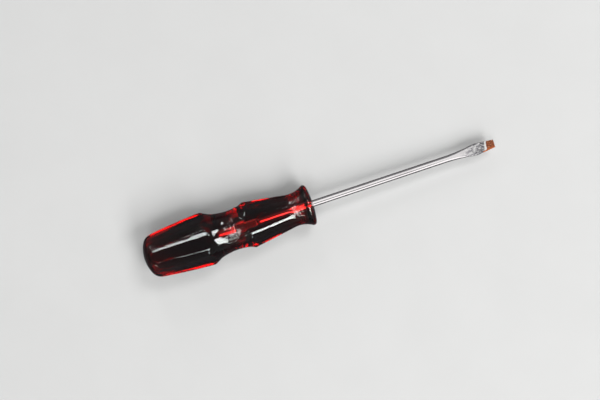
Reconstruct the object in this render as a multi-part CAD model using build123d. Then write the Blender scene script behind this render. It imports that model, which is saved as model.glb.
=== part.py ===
from build123d import *
import os

# Flat-blade screwdriver, lying flat. Millimetres.
# The tool's axis is the X axis, +X points out of the tip, +Z is up.
# The origin is the centre of the tip's end face. One flute of each grip and the flats of the tip face up.

# ---- blade: driving dimensions ----
EXPOSED_BLADE = 125.0      # from the handle's front face to the end of the tip
SHANK_DIAMETER = 4.4
TIP_WIDTH = 5.1            # across the end of the tip
TIP_THICKNESS = 0.9
GROUND_LENGTH = 5.0        # bare length ground parallel at the tip
GROUND_WIDTH = 6.3         # across the blade where the ground length starts
GROUND_BEVEL = 0.5         # length of the bevel that leads down to the ground flats
FORGED_TIP_WIDTH = 6.4     # at the end of the forged flats, before the ground bevel
FORGED_TIP_THICKNESS = 1.3
FORGED_TIP_CORNER = 0.15
GROUND_CORNER = 0.1
FLARE_START = 32.0         # from the end of the tip to where the round shank starts to flatten
# The forged flare, from the shank to its widest place: distance from the tip, width, thickness, corner.
FLARE = (
    (25.6, 4.85, 4.0, 1.7),
    (19.3, 5.95, 3.2, 1.1),
    (15.5, 7.25, 2.5, 0.6),
    (12.8, 7.9, 2.0, 0.3),
)

# ---- tang, inside the handle ----
TANG_LENGTH = 66.8
WING_START = 37.6          # from the handle's front face
WING_END = 52.7
WING_WIDTH = 5.6
WING_THICKNESS = 2.8
WING_RAMP = 4.5            # length over which the round bar flattens into the wings
WING_CORNER = 1.2

# ---- handle: stations measured back from the centre of its front face ----
HANDLE_LENGTH = 115.9
FRONT_DOME_DEPTH = 1.9
RIM_RADIUS = 15.0          # before its edge is rounded
RIM_ROUNDING = 2.1
NECK_RADIUS = 11.0         # the narrowest place of the collar
NECK_STATION = 15.2
COLLAR_FLARE_MID = (7.9, 11.75)  # station and radius half way up the collar's flare to the rim
FRONT_SHOULDER_RADIUS = 15.5
FRONT_SHOULDER_STATION = 44.3
FRONT_STEP_RADIUS = 14.3   # where the waist meets the step up to the front grip
FRONT_STEP_STATION = 46.8
WAIST_RADIUS = 13.3
WAIST_STATION = 57.0
REAR_STEP_RADIUS = 15.0    # where the waist meets the slope up to the rear grip
REAR_STEP_STATION = 67.4
REAR_SHOULDER_RADIUS = 17.8
REAR_SHOULDER_STATION = 72.6
REAR_GRIP_MID_RADIUS = 16.35
REAR_GRIP_MID_STATION = 92.0
BUTT_EDGE_RADIUS = 14.0    # before its edge is rounded
BUTT_EDGE_STATION = 111.3
BUTT_ROUNDING = 7.0
REAR_SHOULDER_ROUNDING = 1.6
REAR_STEP_ROUNDING = 2.0
FRONT_SHOULDER_ROUNDING = 1.0
FRONT_STEP_ROUNDING = 1.0

# ---- flutes and grooves ----
FLUTE_COUNT = 6
FLUTE_HOLLOW_RADIUS = 80.0  # the flutes are very shallow hollows
FLUTE_CUT_WIDTH = 20.0     # of the cutter, wider than any flute
FLUTE_CUT_HEIGHT = 6.0     # of the cutter above the floor line
# Three points of each grip's floor line, as station and radius. The front flutes stop short of the collar.
REAR_FLOOR = ((116.0, 12.14), (90.0, 15.39), (62.0, 16.0))
FRONT_FLOOR = ((51.0, 15.2), (30.0, 12.43), (14.2, 10.42))
GROOVE_RADIUS = 1.0        # of each groove's round section
GROOVE_DEPTH = 0.24
WAIST_GROOVES = (52.65, 54.65, 56.7, 58.7)
COLLAR_GROOVES = (7.5, 9.4, 11.2, 13.1)

HANDLE_FRONT = -EXPOSED_BLADE
SHANK_RADIUS = SHANK_DIAMETER / 2
NEARLY_ROUND_CORNER = 0.98 * SHANK_RADIUS  # a rounded square with this corner passes for the round bar


def across(x, width, thickness, corner):
    """A rounded rectangle square to the tool's axis, wide along Y and thick along Z."""
    plane = Plane(origin=(x, 0, 0), x_dir=(0, 1, 0), z_dir=(1, 0, 0))
    return plane * RectangleRounded(width, thickness, corner)


def round_bar(start, end):
    plane = Plane(origin=(start, 0, 0), x_dir=(0, 1, 0), z_dir=(1, 0, 0))
    return extrude(plane * Circle(SHANK_RADIUS), end - start)


def nearly_round(x):
    """The bar's own section as a rounded rectangle, so that it lofts cleanly into the flat sections."""
    return across(x, SHANK_DIAMETER, SHANK_DIAMETER, NEARLY_ROUND_CORNER)


def forged_end():
    """The section where the forged flats end and the ground bevel begins."""
    return across(-GROUND_LENGTH - GROUND_BEVEL, FORGED_TIP_WIDTH, FORGED_TIP_THICKNESS, FORGED_TIP_CORNER)


def forged_flare():
    """The shank flattens and widens, then narrows towards the ground tip."""
    spread = [nearly_round(-FLARE_START)]
    spread += [across(-distance, *section) for distance, *section in FLARE]
    return loft(spread) + loft([spread[-1], forged_end()], ruled=True)


def ground_tip():
    """The bevel and the bare, parallel-ground end of the tip."""
    ground_start = across(-GROUND_LENGTH, GROUND_WIDTH, TIP_THICKNESS, GROUND_CORNER)
    bevel = loft([forged_end(), ground_start], ruled=True)
    outline = Polyline(
        (-GROUND_LENGTH, GROUND_WIDTH / 2), (0, TIP_WIDTH / 2),
        (0, -TIP_WIDTH / 2), (-GROUND_LENGTH, -GROUND_WIDTH / 2), close=True)
    flats = extrude(make_face(outline), TIP_THICKNESS / 2, both=True)
    return bevel + flats


def wings():
    """The bar pressed flat inside the handle, so that the blade can neither turn nor pull out."""
    back, front = HANDLE_FRONT - WING_END, HANDLE_FRONT - WING_START
    flat = (WING_WIDTH, WING_THICKNESS, WING_CORNER)
    rear_ramp = loft([nearly_round(back), across(back + WING_RAMP, *flat)], ruled=True)
    middle = loft([across(back + WING_RAMP, *flat), across(front - WING_RAMP, *flat)], ruled=True)
    front_ramp = loft([across(front - WING_RAMP, *flat), nearly_round(front)], ruled=True)
    return rear_ramp + middle + front_ramp


def blade():
    """The whole steel piece: tang, wings, shank, flare and tip."""
    tang_end = round_bar(HANDLE_FRONT - TANG_LENGTH, HANDLE_FRONT - WING_END)
    shank = round_bar(HANDLE_FRONT - WING_START, -FLARE_START)
    return tang_end + wings() + shank + forged_flare() + ground_tip()


def at(station, radius):
    """A point of the handle's profile, from its station behind the front face."""
    return (HANDLE_FRONT - station, radius)


def dome_rise(depth, edge_radius):
    """How far a round dome has fallen from its top, half way out to its edge."""
    ball_radius = (edge_radius ** 2 + depth ** 2) / (2 * depth)
    return ball_radius - (ball_radius ** 2 - (edge_radius / 2) ** 2) ** 0.5


def handle_outline():
    """Half of the handle's lengthwise section, before its flutes and grooves."""
    centre = at(0, 0)
    rim = at(FRONT_DOME_DEPTH, RIM_RADIUS)
    neck = at(NECK_STATION, NECK_RADIUS)
    front_shoulder = at(FRONT_SHOULDER_STATION, FRONT_SHOULDER_RADIUS)
    front_step = at(FRONT_STEP_STATION, FRONT_STEP_RADIUS)
    rear_step = at(REAR_STEP_STATION, REAR_STEP_RADIUS)
    rear_shoulder = at(REAR_SHOULDER_STATION, REAR_SHOULDER_RADIUS)
    butt_edge = at(BUTT_EDGE_STATION, BUTT_EDGE_RADIUS)
    butt = at(HANDLE_LENGTH, 0)
    butt_rise = dome_rise(HANDLE_LENGTH - BUTT_EDGE_STATION, BUTT_EDGE_RADIUS)
    roundings = (
        (rim, RIM_ROUNDING),
        (front_shoulder, FRONT_SHOULDER_ROUNDING),
        (front_step, FRONT_STEP_ROUNDING),
        (rear_step, REAR_STEP_ROUNDING),
        (rear_shoulder, REAR_SHOULDER_ROUNDING),
        (butt_edge, BUTT_ROUNDING),
    )
    with BuildSketch() as profile:
        with BuildLine():
            ThreePointArc(centre, at(dome_rise(FRONT_DOME_DEPTH, RIM_RADIUS), RIM_RADIUS / 2), rim)
            ThreePointArc(rim, at(*COLLAR_FLARE_MID), neck)
            Line(neck, front_shoulder)
            Line(front_shoulder, front_step)
            ThreePointArc(front_step, at(WAIST_STATION, WAIST_RADIUS), rear_step)
            Line(rear_step, rear_shoulder)
            ThreePointArc(rear_shoulder, at(REAR_GRIP_MID_STATION, REAR_GRIP_MID_RADIUS), butt_edge)
            ThreePointArc(butt_edge, at(HANDLE_LENGTH - butt_rise, BUTT_EDGE_RADIUS / 2), butt)
            Line(butt, centre)
        make_face()
        for corner, rounding in roundings:
            fillet(profile.vertices().sort_by_distance((*corner, 0))[0], rounding)
    return profile.sketch


def groove(outline, station):
    """The round section of one ring groove, sunk into the outline's edge."""
    upright = Line(at(station, 0), at(station, 2 * REAR_SHOULDER_RADIUS))
    surface_radius = (upright & outline.face()).length
    centre = at(station, surface_radius + GROOVE_RADIUS - GROOVE_DEPTH)
    return Pos(*centre) * Circle(GROOVE_RADIUS)


def handle_body():
    """The handle as a body of revolution, with its grooves."""
    outline = handle_outline()
    outline -= [groove(outline, station) for station in WAIST_GROOVES + COLLAR_GROOVES]
    return revolve(outline, Axis.X)


def flute_cutter(floor):
    """A long shallow hollow whose lowest line follows the floor, facing up."""
    path = ThreePointArc(*[(HANDLE_FRONT - station, 0, radius) for station, radius in floor])
    half = FLUTE_CUT_WIDTH / 2
    rise = FLUTE_HOLLOW_RADIUS - (FLUTE_HOLLOW_RADIUS ** 2 - half ** 2) ** 0.5
    hollow = ThreePointArc((-half, rise), (0, 0), (half, rise))
    top = Polyline((half, rise), (half, FLUTE_CUT_HEIGHT), (-half, FLUTE_CUT_HEIGHT), (-half, rise))
    start = Plane(origin=path @ 0, x_dir=(0, 1, 0), z_dir=path % 0)
    return sweep(start * make_face([hollow, top]), path)


def handle():
    """The fluted handle, still without its hollow for the tang."""
    body = handle_body()
    for floor in (REAR_FLOOR, FRONT_FLOOR):
        cutter = flute_cutter(floor)
        body -= [cutter.rotate(Axis.X, i * 360 / FLUTE_COUNT) for i in range(FLUTE_COUNT)]
    return body


def write(name, shape):
    shape.label = name
    export_step(shape, os.path.join("parts", name + ".step"))


os.makedirs("parts", exist_ok=True)
tool_blade = blade()
tool_handle = handle() - tool_blade
write("blade", tool_blade)
write("handle", tool_handle)
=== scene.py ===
"""A flat-blade screwdriver with a clear ruby handle, lying on a pale floor.

The CAD frame gives the places. The handle and the blade are rebuilt here as fine meshes inside the CAD's
sizes. Lengths are millimetres until a mesh, a light or the camera is made, and then metres.
Stations are measured back from the centre of the handle's front face, and distances of the blade back from
its tip.
"""
import math

import bmesh
import bpy
import numpy as np
from mathutils import Matrix, Vector, noise


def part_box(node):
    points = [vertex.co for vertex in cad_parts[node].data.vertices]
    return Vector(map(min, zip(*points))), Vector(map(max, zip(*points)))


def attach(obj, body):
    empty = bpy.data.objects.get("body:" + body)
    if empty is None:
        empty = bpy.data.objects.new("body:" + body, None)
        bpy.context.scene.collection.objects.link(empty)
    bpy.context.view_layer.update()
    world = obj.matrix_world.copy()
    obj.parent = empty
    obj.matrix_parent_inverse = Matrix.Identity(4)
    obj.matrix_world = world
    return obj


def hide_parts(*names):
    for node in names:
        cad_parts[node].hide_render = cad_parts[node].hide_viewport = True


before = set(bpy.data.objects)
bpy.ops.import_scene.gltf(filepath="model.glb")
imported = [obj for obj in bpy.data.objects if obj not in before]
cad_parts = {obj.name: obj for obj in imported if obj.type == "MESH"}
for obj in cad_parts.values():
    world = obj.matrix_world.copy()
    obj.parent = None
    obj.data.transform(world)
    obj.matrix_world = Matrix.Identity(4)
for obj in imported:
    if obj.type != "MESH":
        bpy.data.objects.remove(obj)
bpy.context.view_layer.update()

MM = 0.001

# ---- handle ----
HANDLE_LENGTH = 115.9
FRONT_DOME_DEPTH = 1.9
RIM_RADIUS = 15.0
NECK = (15.2, 11.0)
COLLAR_FLARE_MID = (7.9, 11.75)
FRONT_SHOULDER = (44.3, 15.5)
FRONT_STEP = (46.8, 14.3)
WAIST = (57.0, 13.3)
REAR_STEP = (67.4, 15.0)
REAR_SHOULDER = (72.6, 17.8)
REAR_GRIP_MID = (92.0, 16.35)
BUTT_EDGE = (111.3, 14.0)
RIM_REACH = 3.9            # how far each rounding reaches from its corner
BUTT_REACH = 3.6
REAR_SHOULDER_REACH = 0.9
REAR_STEP_REACH = 1.2
FRONT_SHOULDER_REACH = 0.8
FRONT_STEP_REACH = 0.9

FLUTE_COUNT = 6
SECTOR = 360 / FLUTE_COUNT
FLUTE_HOLLOW_RADIUS = 80.0
REAR_FLOOR = ((116.0, 12.14), (90.0, 15.39), (62.0, 16.0))
FRONT_FLOOR = ((51.0, 15.2), (30.0, 12.43), (14.2, 10.42))
REAR_FLUTE_END = 60.0
FRONT_FLUTE_START = 54.0
FRONT_FLUTE_FADE = 3.2     # length over which a front flute rises to the surface before the collar
FRONT_FLUTE_END = 14.2
FRONT_FLUTE_LIFT = 0.45    # how high a front flute's floor has risen where it ends
NO_FLUTE = 99.0            # height of a flute's floor where there is no flute, well clear of the surface
EDGE_SOFTNESS = 0.14       # height over which a flute's edge is rounded
PLAIN_EDGE_ANGLE = 14.0    # where a ring without flutes puts its edge points, in degrees
EDGE_ANGLES = (9.0, 24.0)  # the least and the most turn from a flute's middle to a ring's edge points
EDGE_BLEND = 1.5           # length over which the edge points of neighbouring rings are evened out
GROOVE_DEPTH = 0.17
GROOVE_HALF_WIDTH = 0.72
GROOVES = (7.5, 9.4, 11.2, 13.1, 52.65, 54.65, 56.7, 58.7)

# ---- lengths of the handle's faces ----
GROOVE_FACE = 0.12
GROOVE_MARGIN = 0.55       # beyond a groove, still with its short faces
TURN_FACE = 0.3
TURNS = ((13, 18), (41.5, 49.5), (66, 77))  # stations between which the outline turns quickly
END_FACE = 0.35
FRONT_END, BUTT_START = 5, 107
PLAIN_FACE = 1.0

# ---- blade ----
SHANK_RADIUS = 2.2
TANG_LENGTH = 66.8
WING_START = 37.6
WING_END = 52.7
WING_RAMP = 4.5
WING_HALF = (2.8, 1.4)     # half the width and half the thickness of the wings
ROUND = 2.0                # exponent of a round section; a higher one gives a section with tighter corners
WING_EXPONENT = 3.2
WING_THINNING = 3.5        # how much sooner the wings reach their thickness than their width
HOLLOW_GAP = -0.03         # the plastic grips the steel, so its hollow is a little smaller
HOLLOW_MOUTH = 0.12        # station of the hollow's first ring, just inside the domed front face
# distance from the tip, half width, half thickness and exponent of the blade's section
BLADE_KEYS = (
    (0.0, 2.55, 0.44, 11.0),
    (4.9, 3.15, 0.45, 11.0),
    (5.6, 3.2, 0.65, 8.0),
    (9.0, 3.58, 0.83, 7.0),
    (12.4, 3.95, 1.0, 6.0),
    (15.5, 3.62, 1.25, 4.6),
    (19.3, 2.98, 1.6, 3.2),
    (25.6, 2.43, 2.0, 2.3),
    (32.0, SHANK_RADIUS, SHANK_RADIUS, ROUND),
)
GROUND_LENGTH = 5.0
GROUND_FADE = 0.5          # length over which the pits of the ground end fade in
FORGED_MARKS_END = 24.0    # from the tip, and the length over which the marks fade in
FORGED_MARKS_FADE = 8.0
DENT_DEPTH = 0.06
DENT_SCALE = (0.55, 0.9, 0.9)  # of the dents' noise along the blade and across it, per millimetre
PIT_DEPTH = 0.05
PIT_SCALE = 2.6
TIP_BEVEL = 0.08           # taken off the edges of the tip's end
TANG_BEVEL = 0.15
BLADE_POINTS = 80          # round each section
CORNER_PULL = 0.35         # how strongly the points gather at a section's corners

# ---- finish of the steel ----
RUST_LEAN = 0.2            # how far the rust's edge leans, per millimetre across the tip
RUST_EDGE = (5.6, 5.3)     # from the tip: where rust starts and where it is full
RUST_RAGGED = 1.2          # length over which the noise moves the rust's edge
RUST_CREEP = 2.5           # how far rust runs back along the tip's lower edge
CREEP_SIDE = (-2.2, -3.0)  # across the tip: where rust starts to run back, and where it does so fully
FRESH_SIDE = (-1.2, -2.6)  # across the tip: where the fresh rust starts and where it is full
BEVEL_EDGE = (6.8, 6.4)    # where the bright bevel in front of the rust starts
FLARE_EDGE = (26, 14)      # where the satin finish starts and where it is full
BLOTCH_EDGE = (17, 12)     # where the dark blotches start to strengthen and where they are strongest
TANG_EDGE = (-0.5, 1.5)    # behind the handle's front face
WING_SHADE_FRONT = (38.5, 40.0)  # stations over which the painted dark reflection on the wings comes in
WING_SHADE_REAR = (52.2, 51.2)  # and over which it goes again
WING_SHADE_SIDE = (1.7, 2.0)    # the wings' outer edge on one side is left out of the painted dark reflection and stays bright

handle_low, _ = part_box("handle")
_, blade_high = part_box("blade")
TIP_X = blade_high.x / MM
FRONT_X = handle_low.x / MM + HANDLE_LENGTH
EXPOSED = TIP_X - FRONT_X


# ---------------------------------------------------------------- outlines

def line(start, end, step=0.05):
    count = max(int(math.dist(start, end) / step), 2)
    return np.linspace(start, end, count)


def arc(start, mid, end, count=500):
    """Points on the circle through three points."""
    (ax, ay), (bx, by), (cx, cy) = start, mid, end
    d = 2 * (ax * (by - cy) + bx * (cy - ay) + cx * (ay - by))
    a2, b2, c2 = ax * ax + ay * ay, bx * bx + by * by, cx * cx + cy * cy
    ux = (a2 * (by - cy) + b2 * (cy - ay) + c2 * (ay - by)) / d
    uy = (a2 * (cx - bx) + b2 * (ax - cx) + c2 * (bx - ax)) / d
    first, middle, last = (math.atan2(y - uy, x - ux) for x, y in (start, mid, end))
    sweep = (last - first) % math.tau
    if (middle - first) % math.tau > sweep:
        sweep -= math.tau
    angles = np.linspace(first, first + sweep, count)
    radius = math.hypot(ax - ux, ay - uy)
    return np.stack([ux + radius * np.cos(angles), uy + radius * np.sin(angles)], 1)


def along(points):
    """Distance run along an outline up to each of its points."""
    return np.r_[0, np.cumsum(np.linalg.norm(np.diff(points, axis=0), axis=1))]


def soften(points, corner, reach):
    """Rounds one corner of a dense outline, from reach before it to reach after it."""
    run = along(points)
    i = int(np.argmin(np.linalg.norm(points - np.array(corner), axis=1)))
    a, b = np.searchsorted(run, (run[i] - reach, run[i] + reach))
    t = np.linspace(0, 1, b - a + 1)[:, None]
    curve = (1 - t) ** 2 * points[a] + 2 * t * (1 - t) * points[i] + t ** 2 * points[b]
    return np.r_[points[:a], curve, points[b + 1:]]


def resample(points, spacing):
    """Walks along a dense outline with the step that spacing gives at each station."""
    run = along(points)
    places, s = [0.0], 0.0
    while True:
        s += spacing(float(np.interp(s, run, points[:, 0])))
        if s >= run[-1]:
            break
        places.append(s)
    places.append(run[-1])
    return np.stack([np.interp(places, run, points[:, k]) for k in (0, 1)], 1)


def dome(depth, edge_radius, inner_radius=0.0):
    """Fall of a round dome from its top, at radii from the inner one to the edge."""
    ball = (edge_radius ** 2 + depth ** 2) / (2 * depth)
    radii = np.linspace(inner_radius, edge_radius, 400)
    return ball - np.sqrt(ball ** 2 - radii ** 2), radii


def handle_outline():
    """Station and radius of the handle's lands, from the butt's centre to the edge of the shank's hole."""
    fall, radii = dome(HANDLE_LENGTH - BUTT_EDGE[0], BUTT_EDGE[1])
    butt = np.stack([HANDLE_LENGTH - fall, radii], 1)
    fall, radii = dome(FRONT_DOME_DEPTH, RIM_RADIUS, SHANK_RADIUS + HOLLOW_GAP)
    front = np.stack([fall, radii], 1)[::-1]
    rim = (FRONT_DOME_DEPTH, RIM_RADIUS)
    points = np.concatenate([
        butt,
        arc(BUTT_EDGE, REAR_GRIP_MID, REAR_SHOULDER)[1:],
        line(REAR_SHOULDER, REAR_STEP)[1:],
        arc(REAR_STEP, WAIST, FRONT_STEP)[1:],
        line(FRONT_STEP, FRONT_SHOULDER)[1:],
        line(FRONT_SHOULDER, NECK)[1:],
        arc(NECK, COLLAR_FLARE_MID, rim)[1:],
        front[1:],
    ])
    for corner, reach in (
        (BUTT_EDGE, BUTT_REACH),
        (REAR_SHOULDER, REAR_SHOULDER_REACH),
        (REAR_STEP, REAR_STEP_REACH),
        (FRONT_STEP, FRONT_STEP_REACH),
        (FRONT_SHOULDER, FRONT_SHOULDER_REACH),
        (rim, RIM_REACH),
    ):
        points = soften(points, corner, reach)
    return points


def handle_step(station):
    """Length of a face along the handle: short where the shape turns quickly."""
    if min(abs(station - groove) for groove in GROOVES) < GROOVE_HALF_WIDTH + GROOVE_MARGIN:
        return GROOVE_FACE
    if any(start < station < end for start, end in TURNS):
        return TURN_FACE
    if station < FRONT_END or BUTT_START < station:
        return END_FACE
    return PLAIN_FACE


def smooth_floor(stations, points):
    """Height of a flute's floor line, as the parabola through three points."""
    x, y = zip(*points)
    return np.polyval(np.polyfit(x, y, 2), stations)


def smooth_step(share):
    return share * share * (3 - 2 * share)


def soft_min(a, b, k):
    """The smaller of two heights, rounded where they meet."""
    h = np.maximum(k - np.abs(a - b), 0) / k
    return np.minimum(a, b) - h * h * k / 4


# ---------------------------------------------------------------- meshes

def mesh_object(name, points, faces, material):
    """A smooth-shaded object from points in millimetres."""
    mesh = bpy.data.meshes.new(name)
    mesh.from_pydata([tuple(p) for p in np.asarray(points) * MM], [], faces)
    mesh.validate()
    shell = bmesh.new()
    shell.from_mesh(mesh)
    bmesh.ops.recalc_face_normals(shell, faces=shell.faces)
    shell.to_mesh(mesh)
    shell.free()
    mesh.polygons.foreach_set("use_smooth", [True] * len(mesh.polygons))
    mesh.materials.append(material)
    mesh.update()
    thing = bpy.data.objects.new(name, mesh)
    bpy.context.scene.collection.objects.link(thing)
    return thing


def tube(rings, first_pole, last_pole):
    """Points and faces of a closed skin through rings of equal count, with a pole point at each end."""
    count = len(rings[0])
    points = np.concatenate([np.array([first_pole]), *rings, np.array([last_pole])])
    faces = []
    for j in range(count):
        k = (j + 1) % count
        faces.append((0, 1 + k, 1 + j))
        for i in range(len(rings) - 1):
            a, b = 1 + i * count, 1 + (i + 1) * count
            faces.append((a + j, a + k, b + k, b + j))
        last = 1 + (len(rings) - 1) * count
        faces.append((last + j, last + k, len(points) - 1))
    return points, faces


def half_sector(edge):
    """Angles from a flute's middle to the next land's middle, close together at the flute's edge."""
    near = np.array([0.5, 1.0, 1.6])
    flute = np.linspace(0, edge - near[-1], 6)[:-1]
    land = np.linspace(edge + near[-1], SECTOR / 2, 3)[1:]
    return np.r_[flute, edge - near[::-1], edge, edge + near, land]


def round_angles(edge):
    """Angles in degrees once round the handle, mirrored in every flute and land."""
    half = half_sector(edge)
    sector = np.r_[half, SECTOR - half[-2:0:-1]]
    return np.concatenate([sector + i * SECTOR for i in range(FLUTE_COUNT)])


def flute_floor(stations):
    """Height of the flute floor at each station."""
    floor = np.full(len(stations), NO_FLUTE)
    rear = stations > REAR_FLUTE_END
    floor[rear] = smooth_floor(stations[rear], REAR_FLOOR)
    front = (stations < FRONT_FLUTE_START) & (stations > FRONT_FLUTE_END - 1)
    faded = (FRONT_FLUTE_END + FRONT_FLUTE_FADE - stations[front]) / FRONT_FLUTE_FADE
    lift = FRONT_FLUTE_LIFT * np.clip(faded, 0, 2) ** 2
    floor[front] = smooth_floor(stations[front], FRONT_FLOOR) + lift
    return floor


def flute_edge(floor, radius):
    """Half the angle that a flute cuts from a circle of the given radius, in degrees."""
    centre = floor + FLUTE_HOLLOW_RADIUS
    cosine = (centre ** 2 + radius ** 2 - FLUTE_HOLLOW_RADIUS ** 2) / (2 * centre * np.maximum(radius, 1))
    angle = np.degrees(np.arccos(np.clip(cosine, -1, 1)))
    return np.where(floor < radius, angle, PLAIN_EDGE_ANGLE)


def groove_depths(stations):
    """How deep the rings are at each station."""
    depths = np.zeros(len(stations))
    for groove in GROOVES:
        away = np.clip(np.abs(stations - groove) / GROOVE_HALF_WIDTH, 0, 1)
        depths += GROOVE_DEPTH * np.cos(away * math.pi / 2) ** 2
    return depths


def evened(values, stations):
    """Each value averaged with its neighbours', so that it changes smoothly along the handle."""
    reach = np.abs(stations[:, None] - stations[None, :])
    weight = np.exp(-(reach / EDGE_BLEND) ** 2)
    return (weight @ values) / weight.sum(1)


def handle_rings():
    """The rings of the handle's outside, from the butt to the edge of the hole."""
    outline = resample(handle_outline(), handle_step)
    stations = outline[1:, 0]
    radii = outline[1:, 1] - groove_depths(stations)
    floor = flute_floor(stations)
    edge = evened(np.clip(flute_edge(floor, radii), *EDGE_ANGLES), stations)
    rings = []
    for station, radius, height, angle in zip(stations, radii, floor, edge):
        degrees = round_angles(angle)
        theta = np.radians(degrees)
        phi = np.radians((degrees + SECTOR / 2) % SECTOR - SECTOR / 2)  # from the nearest flute's middle
        centre = height + FLUTE_HOLLOW_RADIUS
        inside = np.maximum(FLUTE_HOLLOW_RADIUS ** 2 - (centre * np.sin(phi)) ** 2, 0)
        hollow = centre * np.cos(phi) - np.sqrt(inside)
        r = soft_min(np.full(len(theta), radius), hollow, EDGE_SOFTNESS)
        x = np.full(len(theta), FRONT_X - station)
        rings.append(np.stack([x, r * np.sin(theta), r * np.cos(theta)], 1))
    return rings


def tang_section(station):
    """Half width, half thickness and exponent of the tang's section inside the handle."""
    into = min((station - WING_START) / WING_RAMP, (WING_END - station) / WING_RAMP, 1.0)
    into = max(into, 0.0)
    wider = smooth_step(into)
    thinner = smooth_step(min(WING_THINNING * into, 1.0))
    return (
        SHANK_RADIUS + wider * (WING_HALF[0] - SHANK_RADIUS),
        SHANK_RADIUS + thinner * (WING_HALF[1] - SHANK_RADIUS),
        ROUND + thinner * (WING_EXPONENT - ROUND),
    )


def hollow_rings():
    """The rings of the hollow that holds the tang, from its mouth to its end."""
    theta = np.radians(round_angles(PLAIN_EDGE_ANGLE))
    stations = np.r_[
        HOLLOW_MOUTH,
        np.arange(1.0, WING_START, 2.0),
        np.arange(WING_START, WING_END, 0.3),
        np.arange(WING_END, TANG_LENGTH, 2.0),
        TANG_LENGTH + HOLLOW_GAP,
    ]
    rings = []
    for station in stations:
        w, h, n = tang_section(station)
        w, h = w + HOLLOW_GAP, h + HOLLOW_GAP
        r = (np.abs(np.sin(theta) / w) ** n + np.abs(np.cos(theta) / h) ** n) ** (-1 / n)
        x = np.full(len(theta), FRONT_X - station)
        rings.append(np.stack([x, r * np.sin(theta), r * np.cos(theta)], 1))
    return rings


def build_handle(material):
    rings = handle_rings() + hollow_rings()
    end = rings[-1]
    for share in (0.75, 0.4):
        rings.append(end * np.array([1, share, share]))
    butt_pole = (FRONT_X - HANDLE_LENGTH, 0, 0)
    hollow_pole = (end[0][0], 0, 0)
    points, faces = tube(rings, butt_pole, hollow_pole)
    return mesh_object("handle_clear", points, faces, material)


# ---------------------------------------------------------------- blade

def section_ring(x, w, h, n):
    """Points round a superellipse, evenly spaced along it and closer at its corners."""
    t = np.linspace(0, math.tau, 2881)
    y = w * np.sign(np.cos(t)) * np.abs(np.cos(t)) ** (2 / n)
    z = h * np.sign(np.sin(t)) * np.abs(np.sin(t)) ** (2 / n)
    heading = np.unwrap(np.arctan2(np.gradient(z), np.gradient(y)))
    length = np.r_[0, np.cumsum(np.hypot(np.diff(y), np.diff(z)))]
    weight = length / length[-1] + CORNER_PULL * np.abs(heading - heading[0]) / math.tau
    weight = np.maximum.accumulate(weight)
    place = np.linspace(0, weight[-1], BLADE_POINTS + 1)[:-1]
    flat = [np.interp(place, weight, values) for values in (y, z)]
    return np.stack([np.full(BLADE_POINTS, x), *flat], 1)


def blade_stations():
    """Distances of the blade's rings from its tip, close together where the section changes."""
    return np.r_[
        np.arange(0.1, 14.0, 0.22),
        np.arange(14.0, 34.0, 0.45),
        np.arange(34.0, EXPOSED + WING_START, 2.5),
        np.arange(EXPOSED + WING_START, EXPOSED + WING_END, 0.3),
        np.arange(EXPOSED + WING_END, EXPOSED + TANG_LENGTH - 0.1, 2.0),
        EXPOSED + TANG_LENGTH - TANG_BEVEL,
    ]


def blade_section(distance):
    """Half width, half thickness and exponent of the blade's section."""
    if distance > BLADE_KEYS[-1][0]:
        return tang_section(distance - EXPOSED)
    keys = np.array(BLADE_KEYS)
    return tuple(np.interp(distance, keys[:, 0], keys[:, k]) for k in (1, 2, 3))


def worn(ring, distance):
    """Forging marks on the flare and pits on the bare end."""
    bare = np.clip((GROUND_LENGTH - distance) / GROUND_FADE, 0, 1)
    forged = np.clip((FORGED_MARKS_END - distance) / FORGED_MARKS_FADE, 0, 1) * (1 - bare)
    out = ring.copy()
    for i, point in enumerate(ring):
        away = point * (0, 1, 1)
        away /= max(np.linalg.norm(away), 1e-6)
        dent = noise.fractal(Vector(point * DENT_SCALE), 0.8, 2.2, 3)
        pit = noise.fractal(Vector(point * PIT_SCALE), 0.7, 2.1, 4)
        out[i] += away * (DENT_DEPTH * forged * dent + PIT_DEPTH * bare * pit)
    return out


def build_blade(material):
    rings = []
    for distance in blade_stations():
        ring = section_ring(TIP_X - distance, *blade_section(distance))
        rings.append(worn(ring, distance))
    w, h, n = blade_section(0)
    tip_end = section_ring(TIP_X, w - TIP_BEVEL, h - TIP_BEVEL, n)
    tip_rings = [tip_end * np.array([1, share, share]) for share in (0.3, 0.55, 0.8, 1)]
    tang_x = FRONT_X - TANG_LENGTH
    tang_end = section_ring(tang_x, SHANK_RADIUS - TANG_BEVEL, SHANK_RADIUS - TANG_BEVEL, ROUND)
    tang_rings = [tang_end * np.array([1, share, share]) for share in (1, 0.6)]
    points, faces = tube(tip_rings + rings + tang_rings, (TIP_X, 0, 0), (tang_x, 0, 0))
    return mesh_object("blade_steel", points, faces, material)


# ---------------------------------------------------------------- materials

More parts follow.
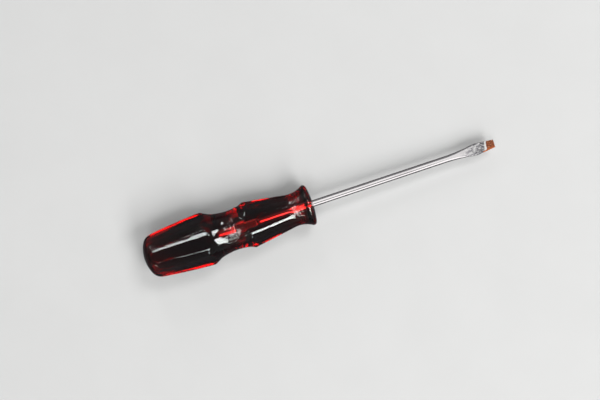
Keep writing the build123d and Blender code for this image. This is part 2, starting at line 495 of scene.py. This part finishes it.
class Shader:
    """A node material with a Principled shader, and short calls for the nodes that feed it."""

    def __init__(self, name):
        self.material = bpy.data.materials.new(name)
        self.material.use_nodes = True
        self.tree = self.material.node_tree
        self.shader = self.tree.nodes["Principled BSDF"]
        self.output = self.tree.nodes["Material Output"]
        self.place = self.node("ShaderNodeTexCoord").outputs["Object"]

    def node(self, kind, inputs=(), **settings):
        made = self.tree.nodes.new(kind)
        for key, value in settings.items():
            setattr(made, key, value)
        for key, value in dict(inputs).items():
            self.feed(made.inputs[key], value)
        return made

    def feed(self, socket, value):
        if isinstance(value, bpy.types.NodeSocket):
            self.tree.links.new(value, socket)
        else:
            socket.default_value = value

    def set(self, **values):
        for key, value in values.items():
            self.feed(self.shader.inputs[key.replace("_", " ").title().replace("Ior", "IOR")], value)

    def noise(self, size_mm, detail=4.0, stretch=(1, 1, 1), roughness=0.55):
        """Noise whose blotches are about size_mm across, drawn out by stretch."""
        scale = [1 / (size_mm * MM * s) for s in stretch]
        spot = self.node("ShaderNodeMapping", {"Vector": self.place, "Scale": scale}).outputs[0]
        texture = self.node("ShaderNodeTexNoise", {
            "Vector": spot, "Scale": 1.0, "Detail": detail, "Roughness": roughness})
        return texture.outputs["Fac"]

    def ramp(self, value, low, high, to_low=0.0, to_high=1.0):
        made = self.node("ShaderNodeMapRange", {
            "Value": value, "From Min": low, "From Max": high, "To Min": to_low, "To Max": to_high})
        made.interpolation_type = "SMOOTHSTEP"
        return made.outputs[0]

    def math(self, operation, a, b=0.0):
        made = self.node("ShaderNodeMath", {0: a, 1: b}, operation=operation)
        return made.outputs[0]

    def mix(self, share, a, b):
        made = self.node("ShaderNodeMix", data_type="RGBA")
        self.feed(made.inputs[0], share)
        self.feed(made.inputs[6], a)
        self.feed(made.inputs[7], b)
        return made.outputs[2]

    def bump(self, height, distance_mm, strength=1.0, under=None):
        inputs = {"Height": height, "Distance": distance_mm * MM, "Strength": strength}
        if under is not None:
            inputs["Normal"] = under
        return self.node("ShaderNodeBump", inputs).outputs[0]

    def axis(self, letter):
        return self.node("ShaderNodeSeparateXYZ", {0: self.place}).outputs[letter]


def ruby():
    """Clear red acetate: almost black where it is thick, bright where it is thin."""
    s = Shader("ruby_acetate")
    haze = s.noise(9, 5)
    fine = s.noise(0.35, 3, (6, 1, 1))
    rough = s.ramp(haze, 0.45, 0.75, 0.005, 0.03)
    rough = s.math("ADD", rough, s.ramp(fine, 0.6, 0.8, 0.0, 0.02))
    ripple = s.bump(s.noise(6, 2), 0.03, 0.5)
    scuff = s.bump(fine, 0.0015, 0.5, ripple)
    s.set(base_color=(1.0, 0.9, 0.9, 1), roughness=rough, ior=1.48, transmission_weight=1.0, normal=scuff)
    absorb = s.node("ShaderNodeVolumeAbsorption", {"Color": (0.84, 0.05, 0.0, 1), "Density": 210.0})
    s.tree.links.new(absorb.outputs[0], s.output.inputs["Volume"])
    return s.material


def band(s, distance, edge):
    """A soft mask from nothing at the edge's first distance to full at its second, in millimetres."""
    return s.ramp(distance, edge[0] * MM, edge[1] * MM)


def chrome_colour(s):
    worn_share = s.math("MULTIPLY", s.ramp(s.noise(3, 4, (8, 1, 1)), 0.5, 0.7), 0.35)
    return s.mix(worn_share, (0.72, 0.69, 0.69, 1), (0.50, 0.46, 0.47, 1))


def satin_colour(s, from_tip):
    """The forged flare: streaks along it, and dark blotches towards the tip."""
    streak = s.ramp(s.noise(0.9, 6, (3.5, 1, 1)), 0.42, 0.62)
    satin = s.mix(streak, (0.66, 0.65, 0.64, 1), (0.24, 0.23, 0.25, 1))
    blotch = s.ramp(s.noise(1.3, 6, (1.6, 1, 1), 0.65), 0.42, 0.62)
    strength = s.ramp(from_tip, BLOTCH_EDGE[0] * MM, BLOTCH_EDGE[1] * MM, 0.15, 0.85)
    return s.mix(s.math("MULTIPLY", blotch, strength), satin, (0.05, 0.045, 0.055, 1))


def rust_colour(s, y):
    """Orange and brown rust, freshest along the tip's lower edge."""
    rust = s.mix(s.ramp(s.noise(0.55, 6), 0.42, 0.56), (0.52, 0.13, 0.04, 1), (0.16, 0.055, 0.028, 1))
    rust = s.mix(s.ramp(s.noise(0.9, 4), 0.52, 0.66), rust, (0.62, 0.24, 0.11, 1))
    fresh = s.math("MULTIPLY", band(s, y, FRESH_SIDE), s.ramp(s.noise(0.6, 4), 0.35, 0.6))
    return s.mix(fresh, rust, (0.85, 0.20, 0.04, 1))


def steel():
    """Chromed steel, satin on the forged flare, with a painted dark reflection on the wings, and bare and
    rusty on the ground end.
    """
    s = Shader("chromed_steel")
    x, y = s.axis("X"), s.axis("Y")
    leaning = s.math("ADD", s.math("SUBTRACT", TIP_X * MM, x), s.math("MULTIPLY", y, RUST_LEAN))
    ragged = s.math("MULTIPLY", s.math("SUBTRACT", s.noise(1.2, 4), 0.5), RUST_RAGGED * MM)
    creep = s.math("MULTIPLY", band(s, y, CREEP_SIDE), RUST_CREEP * MM)
    from_tip = s.math("SUBTRACT", s.math("ADD", leaning, ragged), creep)
    behind_front = s.math("SUBTRACT", FRONT_X * MM, x)

    rust = band(s, from_tip, RUST_EDGE)
    flare = band(s, from_tip, FLARE_EDGE)
    bevel = s.math("MAXIMUM", s.math("SUBTRACT", band(s, leaning, BEVEL_EDGE), rust), 0.0)
    tang = band(s, behind_front, TANG_EDGE)
    # painted shade: the wings are painted near black to stand for the dark they mirror, all but their outer
    # edge on one side
    wings = s.math("MULTIPLY", band(s, behind_front, WING_SHADE_FRONT), band(s, behind_front, WING_SHADE_REAR))
    unshaded_wing_edge = s.math("MULTIPLY", wings, band(s, y, WING_SHADE_SIDE))
    wings = s.math("SUBTRACT", wings, unshaded_wing_edge)

    metal = s.mix(flare, chrome_colour(s), satin_colour(s, from_tip))
    metal = s.mix(bevel, metal, (0.88, 0.87, 0.85, 1))
    # the painted dark reflection on the wings
    metal = s.mix(wings, metal, (0.07, 0.06, 0.06, 1))
    rough = s.ramp(s.noise(0.6, 3, (10, 1, 1)), 0.4, 0.7, 0.06, 0.12)
    for mask, least in ((tang, 0.14), (flare, 0.24), (wings, 0.4), (unshaded_wing_edge, 0.45), (rust, 0.85)):
        rough = s.math("MAXIMUM", rough, s.math("MULTIPLY", mask, least))
    pitted = s.math("ADD", s.math("MULTIPLY", rust, 0.8), 0.03)
    s.set(
        base_color=s.mix(rust, metal, rust_colour(s, y)),
        metallic=s.math("SUBTRACT", s.ramp(rust, 0.3, 0.7, 1.0, 0.1), s.math("MULTIPLY", bevel, 0.6)),
        roughness=rough,
        normal=s.bump(s.noise(0.25, 5), 0.03, pitted),
    )
    return s.material


def floor_paint():
    """Pale to the camera, and dark where the tool bends or mirrors the view of it."""
    s = Shader("pale_floor")
    paint = s.mix(s.noise(40, 3), (0.265, 0.265, 0.262, 1), (0.28, 0.28, 0.277, 1))
    path = s.node("ShaderNodeLightPath").outputs
    mirrored, bent = path["Is Glossy Ray"], path["Is Transmission Ray"]
    dark = s.mix(bent, (0.05, 0.047, 0.05, 1), (0.055, 0.01, 0.012, 1))
    seen_in_tool = s.math("MAXIMUM", bent, mirrored)
    s.set(base_color=s.mix(seen_in_tool, paint, dark), roughness=0.7, specular_ior_level=0.0)
    return s.material


# ---------------------------------------------------------------- stage

FLOOR_HALF = 3000.0
LOWEST_EDGE_ANGLE = 24.0   # from straight down to the inner edges of the two lowest lands, in degrees
RIM_ROUNDED_OFF = 1.37     # what the rim's radius loses to its rounding
RIM_SET_BACK = 1.4         # from the edge of the front dome to the rim's widest place


def add_floor():
    """A plane that touches the rear grip's two lowest lands and the rim of the collar."""
    shoulder_low = REAR_SHOULDER[1] * math.cos(math.radians(LOWEST_EDGE_ANGLE))
    rim_low = RIM_RADIUS - RIM_ROUNDED_OFF
    rear_x = FRONT_X - REAR_SHOULDER[0]
    rim_x = FRONT_X - FRONT_DOME_DEPTH - RIM_SET_BACK
    slope = (shoulder_low - rim_low) / (rim_x - rear_x)
    corners = []
    for side_x, side_y in ((-1, -1), (1, -1), (1, 1), (-1, 1)):
        x = FRONT_X + side_x * FLOOR_HALF
        corners.append((x, side_y * FLOOR_HALF, -rim_low + slope * (x - rim_x)))
    floor = mesh_object("floor", corners, [(0, 1, 2, 3)], floor_paint())


TURN = math.radians(18.4)  # the tool's turn in the picture
CAMERA_HEIGHT = 620.0      # above the tool's axis
SENSOR = 36.0
FRAME_WIDTH = 393.2        # of the picture, at the height of the tool's axis
FRONT_ACROSS, FRONT_UP = 8.5, -2.3  # the centre of the handle's front face, from the picture's centre

RIGHT = Vector((math.cos(TURN), -math.sin(TURN), 0))
UP = Vector((math.sin(TURN), math.cos(TURN), 0))


def add_camera():
    """A camera straight above the tool, turned so that the blade points up and to the right."""
    camera = bpy.data.cameras.new("camera")
    camera.sensor_width = SENSOR
    camera.lens = SENSOR * CAMERA_HEIGHT / FRAME_WIDTH
    thing = bpy.data.objects.new("camera", camera)
    bpy.context.scene.collection.objects.link(thing)
    centre = Vector((FRONT_X, 0, 0)) - RIGHT * FRONT_ACROSS - UP * FRONT_UP
    spot = (centre + Vector((0, 0, CAMERA_HEIGHT))) * MM
    axes = Matrix((RIGHT, UP, Vector((0, 0, 1)))).transposed().to_4x4()
    thing.matrix_world = Matrix.Translation(spot) @ axes
    bpy.context.scene.camera = thing


# Light panels: name, tilts of the west and east sides, tilts of the south and north sides, radiance, shape.
# A side's tilt is its angle from straight up in degrees, as seen from the middle of the handle.
PANEL_HEIGHT = 3000.0
HANDLE_PANELS = (
    ("main_light", (9, 34), (-52, -25), 22.0, "RECTANGLE"),
    ("low_band_light", (13, 40), (-25, -16), 22.0, "RECTANGLE"),
    ("right_light", (17, 38), (15, 31), 20.0, "RECTANGLE"),
    ("right_light_low", (24, 38), (3, 15), 12.0, "RECTANGLE"),
    ("top_light", (-12, -4), (-6.8, -3.6), 15.0, "RECTANGLE"),
    ("top_light_end", (-27, -4), (-5.7, -4.0), 12.0, "ELLIPSE"),
    ("edge_light", (-22, -4), (-40, -12), 10.0, "RECTANGLE"),
    ("side_light", (2, 13), (50, 70), 17.0, "RECTANGLE"),
    ("low_light", (2, 13), (-70, -50), 17.0, "RECTANGLE"),
    ("rear_side_light", (-50, -42), (50, 60), 16.0, "RECTANGLE"),
    ("rear_low_light", (-50, -42), (-60, -50), 16.0, "RECTANGLE"),
)
BLADE_PANELS = (
    ("blade_south", (-65, 65), (-82, -38), 1.3, "RECTANGLE"),
    ("blade_north", (-30, 12), (-11, 46), 1.0, "RECTANGLE"),
    ("blade_tip", (12, 40), (-38, 46), 0.8, "RECTANGLE"),
)


def add_panel(name, x_tilt, y_tilt, radiance, shape):
    """A level light panel above the tool."""
    west, east = (math.tan(math.radians(t)) * PANEL_HEIGHT for t in x_tilt)
    south, north = (math.tan(math.radians(t)) * PANEL_HEIGHT for t in y_tilt)
    light = bpy.data.lights.new(name, "AREA")
    light.shape = shape
    light.size, light.size_y = (east - west) * MM, (north - south) * MM
    light.energy = radiance * math.pi * light.size * light.size_y
    thing = bpy.data.objects.new(name, light)
    bpy.context.scene.collection.objects.link(thing)
    middle_x = FRONT_X - HANDLE_LENGTH / 2
    thing.location = Vector((middle_x + (west + east) / 2, (south + north) / 2, PANEL_HEIGHT)) * MM
    return thing


def link_light(panel, piece, state):
    """Lets a panel shine on the piece only (INCLUDE) or on everything but the piece (EXCLUDE)."""
    group = bpy.data.collections.new(panel.name + "_reaches")
    group.objects.link(piece)
    group.collection_objects[0].light_linking.link_state = state
    panel.light_linking.receiver_collection = group


SKY_OVERHEAD = 0.22
SKY_HORIZON = 0.4
SKY_HORIZON_MIRRORED = 0.3
SKY_FADE = (0.75, 0.2)     # upward parts of the directions between which the sky brightens


def add_world():
    """Soft surroundings that brighten towards the horizon, a little less where the tool mirrors them."""
    world = bpy.data.worlds.new("studio")
    world.use_nodes = True
    tree = world.node_tree
    place = tree.nodes.new("ShaderNodeTexCoord")
    split = tree.nodes.new("ShaderNodeSeparateXYZ")
    fade = tree.nodes.new("ShaderNodeMapRange")
    fade.inputs["From Min"].default_value = SKY_FADE[0]
    fade.inputs["From Max"].default_value = SKY_FADE[1]
    fade.inputs["To Min"].default_value = SKY_OVERHEAD
    low_sky = tree.nodes.new("ShaderNodeMapRange")
    low_sky.inputs["To Min"].default_value = SKY_HORIZON
    low_sky.inputs["To Max"].default_value = SKY_HORIZON_MIRRORED
    path = tree.nodes.new("ShaderNodeLightPath")
    tree.links.new(path.outputs["Is Glossy Ray"], low_sky.inputs["Value"])
    tree.links.new(low_sky.outputs[0], fade.inputs["To Max"])
    background = tree.nodes["Background"]
    background.inputs["Color"].default_value = (0.95, 0.97, 1.0, 1)
    tree.links.new(place.outputs["Generated"], split.inputs[0])
    tree.links.new(split.outputs["Z"], fade.inputs["Value"])
    tree.links.new(fade.outputs[0], background.inputs["Strength"])
    bpy.context.scene.world = world


# ---------------------------------------------------------------- the scene

handle = build_handle(ruby())
blade = build_blade(steel())
for piece, node, slot in ((handle, "handle", "clear_ruby_plastic"), (blade, "blade", "chromed_steel")):
    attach(piece, "root")
    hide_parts(node)

add_floor()
add_camera()
add_world()
for panel in HANDLE_PANELS:
    link_light(add_panel(*panel), blade, "EXCLUDE")
for panel in BLADE_PANELS:
    link_light(add_panel(*panel), blade, "INCLUDE")
bpy.context.scene.cycles.caustics_refractive = False
bpy.context.scene.view_settings.view_transform = "Standard"
